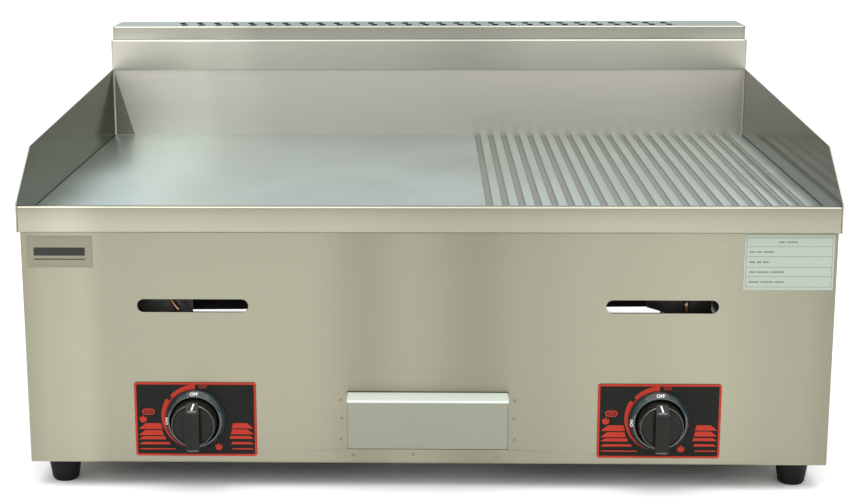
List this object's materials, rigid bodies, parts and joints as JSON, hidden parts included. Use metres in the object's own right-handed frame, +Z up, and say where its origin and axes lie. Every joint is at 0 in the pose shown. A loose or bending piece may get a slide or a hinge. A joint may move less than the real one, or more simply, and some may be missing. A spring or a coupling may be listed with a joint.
{
  "type": "flat top griddle",
  "caption": "Countertop gas griddle with a half smooth, half grooved steel plate, side shields, rear flue, front controls and a drip drawer.",
  "frame": {"origin": "on the floor, below the centre of the outline", "axes": "+X to the right as a cook faces it, +Y towards the flue at the back, +Z up"},
  "size_m": [0.73, 0.596, 0.3765],
  "materials": {
    "stainless": "satin",
    "plate_steel": "satin",
    "galvanised": "matte",
    "burner_iron": "matte",
    "brass": "satin",
    "copper": "satin",
    "aluminium": "satin",
    "black_plastic": "gloss",
    "foot_rubber": "matte",
    "ceramic": "satin",
    "lead_silicone": "satin",
    "panel_black": "satin",
    "label_paper": "satin",
    "foil": "satin"
  },
  "bodies": {
    "griddle": {"front_panel": "stainless", "back_panel": "stainless", "side_panel_left": "stainless", "side_panel_right": "stainless", "base_cross_bar": "galvanised", "foot_front_left": "foot_rubber", "foot_front_right": "foot_rubber", "foot_rear_left": "foot_rubber", "foot_rear_right": "foot_rubber", "front_rail": "stainless", "side_shield_left": "stainless", "side_shield_right": "stainless", "plate_ledge_left": "galvanised", "plate_ledge_right": "galvanised", "griddle_plate": "plate_steel", "grease_trough": "stainless", "drain_spout": "stainless", "splash_panel": "stainless", "flue_collar": "stainless", "flue_lid": "stainless", "flue_lid_skirt": "stainless", "drawer_guide": "galvanised", "control_plate_left": "panel_black", "control_plate_right": "panel_black", "bezel_left": "black_plastic", "bezel_right": "black_plastic", "valve_body_left": "aluminium", "valve_body_right": "aluminium", "piezo_igniter_left": "black_plastic", "piezo_igniter_right": "black_plastic", "burner_left": "burner_iron", "burner_right": "burner_iron", "injector_left": "brass", "injector_right": "brass", "burner_bracket_left": "galvanised", "burner_bracket_right": "galvanised", "electrode_left": "ceramic", "electrode_right": "ceramic", "ignition_lead_left": "lead_silicone", "ignition_lead_right": "lead_silicone", "feed_tube_left": "copper", "feed_tube_right": "copper", "burner_front_bar": "galvanised", "burner_rear_bar": "galvanised", "gas_manifold": "galvanised", "gas_inlet_nipple": "brass", "rating_label": "label_paper", "foil_badge": "foil"},
    "drawer": {"drawer_front": "stainless", "drawer_tray": "stainless"},
    "plug_left": {"valve_plug_left": "brass", "return_spring_left": "galvanised"},
    "control_left": {"knob_left": "black_plastic", "spindle_left": "aluminium"},
    "shutter_left": {"air_shutter_left": "galvanised"},
    "plug_right": {"valve_plug_right": "brass", "return_spring_right": "galvanised"},
    "control_right": {"knob_right": "black_plastic", "spindle_right": "aluminium"},
    "shutter_right": {"air_shutter_right": "galvanised"}
  },
  "joints": [
    {"name": "drawer_slide", "type": "slide", "parent": "griddle", "child": "drawer", "axis": [0, -1, 0], "range_m": [0, 0.25]},
    {"name": "knob_turn_left", "type": "hinge", "parent": "griddle", "child": "plug_left", "pos_m": [-0.21, -0.25, 0.067], "axis": [0, -1, 0], "range_deg": [0, 220]},
    {"name": "knob_push_left", "type": "slide", "parent": "plug_left", "child": "control_left", "axis": [0, 1, 0], "range_m": [0, 0.0035], "stiffness_N_per_m": 900, "springref_m": -0.003, "deforming": ["return_spring_left"]},
    {"name": "air_shutter_turn_left", "type": "hinge", "parent": "griddle", "child": "shutter_left", "pos_m": [-0.24, -0.2074, 0.182], "axis": [0, -1, 0], "range_deg": [0, 90]},
    {"name": "knob_turn_right", "type": "hinge", "parent": "griddle", "child": "plug_right", "pos_m": [0.21, -0.25, 0.067], "axis": [0, -1, 0], "range_deg": [0, 220]},
    {"name": "knob_push_right", "type": "slide", "parent": "plug_right", "child": "control_right", "axis": [0, 1, 0], "range_m": [0, 0.0035], "stiffness_N_per_m": 900, "springref_m": -0.003, "deforming": ["return_spring_right"]},
    {"name": "air_shutter_turn_right", "type": "hinge", "parent": "griddle", "child": "shutter_right", "pos_m": [0.24, -0.2074, 0.182], "axis": [0, -1, 0], "range_deg": [0, 90]}
  ]
}
